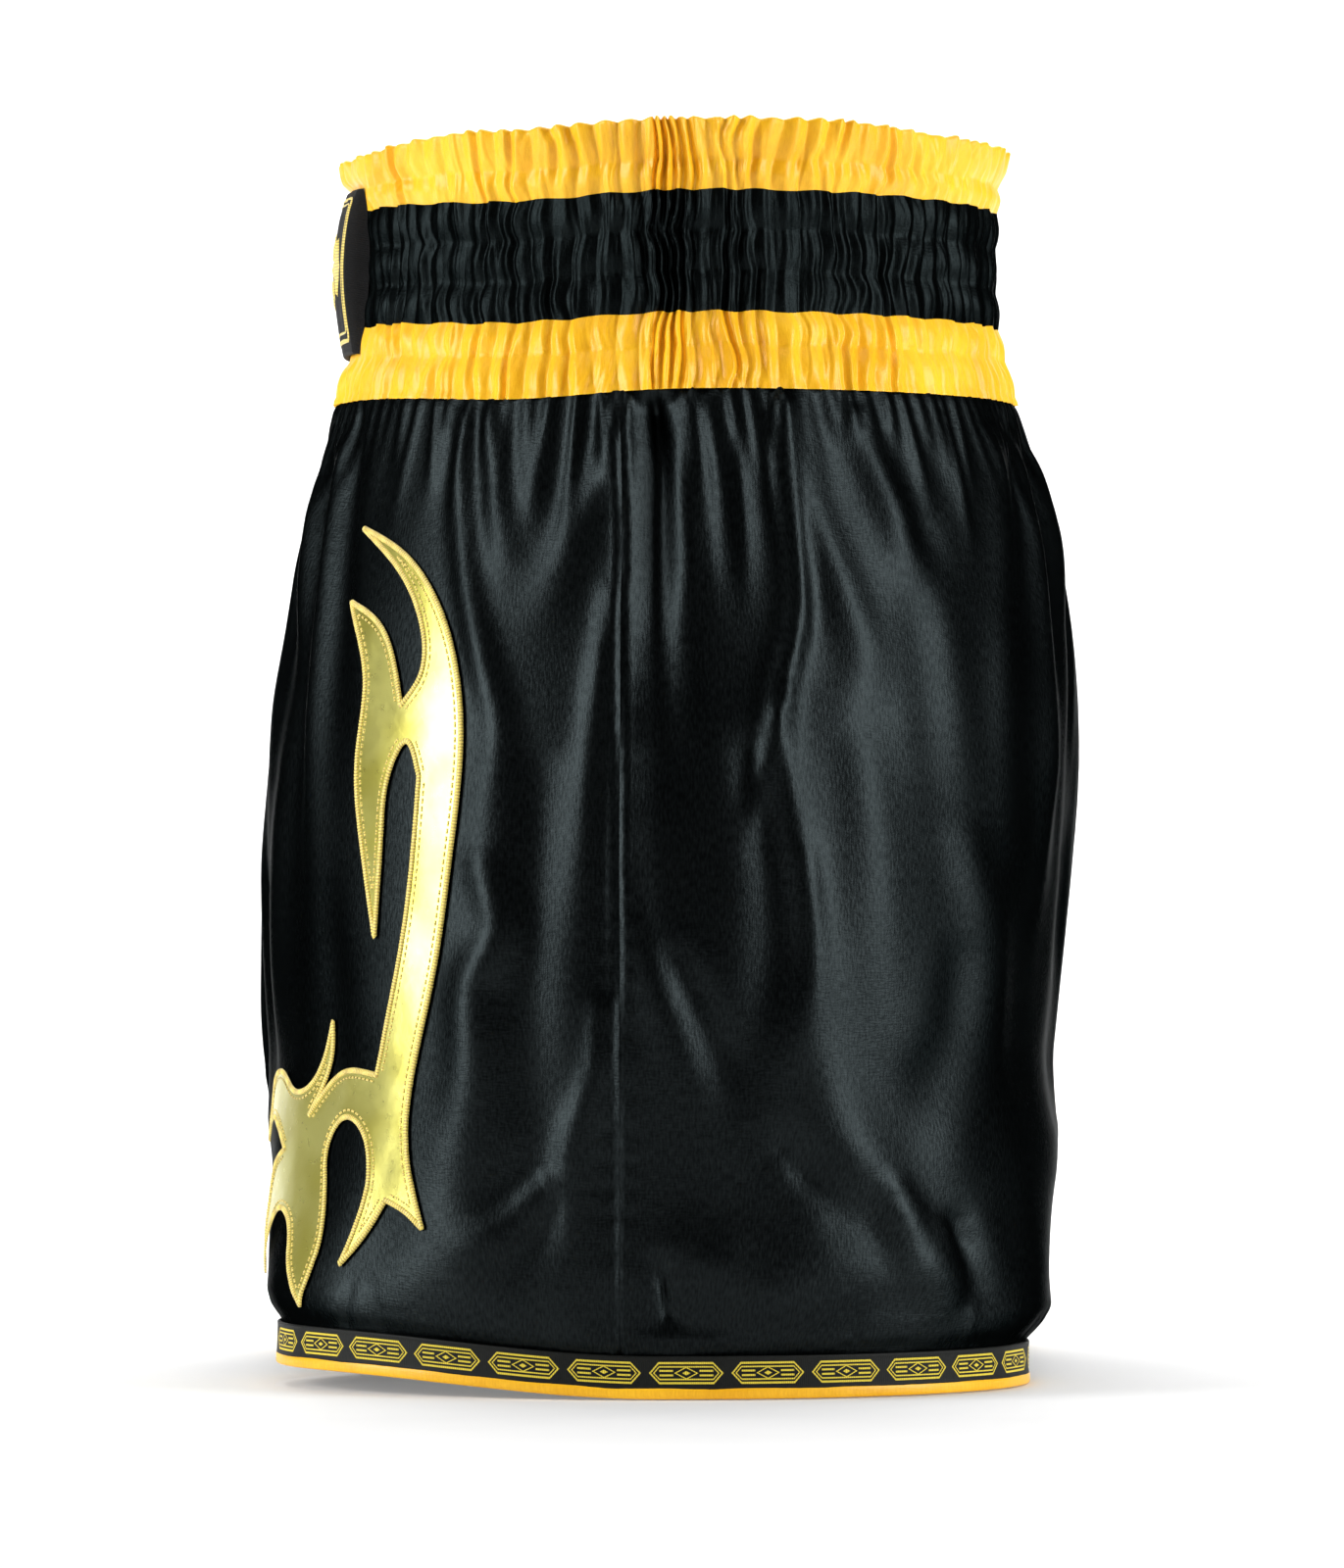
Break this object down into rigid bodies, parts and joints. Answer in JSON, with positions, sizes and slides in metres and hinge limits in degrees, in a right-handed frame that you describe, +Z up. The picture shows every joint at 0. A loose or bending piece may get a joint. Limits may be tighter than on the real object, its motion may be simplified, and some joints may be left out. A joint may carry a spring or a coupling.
{
  "type": "boxing shorts",
  "caption": "Black satin boxing shorts with a wide gathered elastic waistband in yellow and black, gold flame appliques on the legs and a patterned tape round each hem.",
  "frame": {"origin": "bottom centre of the whole object, level with both hems", "axes": "+Z up, the front faces -Y, the wearer's left is +X"},
  "size_m": [0.368, 0.2698, 0.4],
  "materials": {
    "black_satin": "black polyester satin",
    "yellow_satin": "golden yellow polyester satin",
    "facing_cloth": "black polyester lining",
    "woven_patch": "black damask weave",
    "gold_thread": "gold embroidery thread",
    "woven_tape": "black jacquard tape with a gold repeat",
    "gold_foil": "metallised gold film on cloth",
    "elastic": "white knitted elastic",
    "label_cloth": "white woven label"
  },
  "bodies": {
    "root": {"care_label": "label_cloth", "crotch_gusset": "black_satin", "front_patch": "woven_patch", "front_patch_emblem": "gold_thread", "left_back_leg_panel": "black_satin", "left_flame_foil": "gold_foil", "left_flame_stitching": "gold_thread", "left_front_leg_panel": "black_satin", "left_hem_binding": "yellow_satin", "left_hem_tape": "woven_tape", "right_back_leg_panel": "black_satin", "right_flame_foil": "gold_foil", "right_flame_stitching": "gold_thread", "right_front_leg_panel": "black_satin", "right_hem_binding": "yellow_satin", "right_hem_tape": "woven_tape", "size_label": "label_cloth", "waist_elastic_1": "elastic", "waist_elastic_2": "elastic", "waist_elastic_3": "elastic", "waist_elastic_4": "elastic", "waist_elastic_5": "elastic", "waist_elastic_6": "elastic", "waist_elastic_7": "elastic", "waist_facing": "facing_cloth", "waist_strip_bottom": "yellow_satin", "waist_strip_middle": "black_satin", "waist_strip_top": "yellow_satin"}
  },
  "joints": []
}
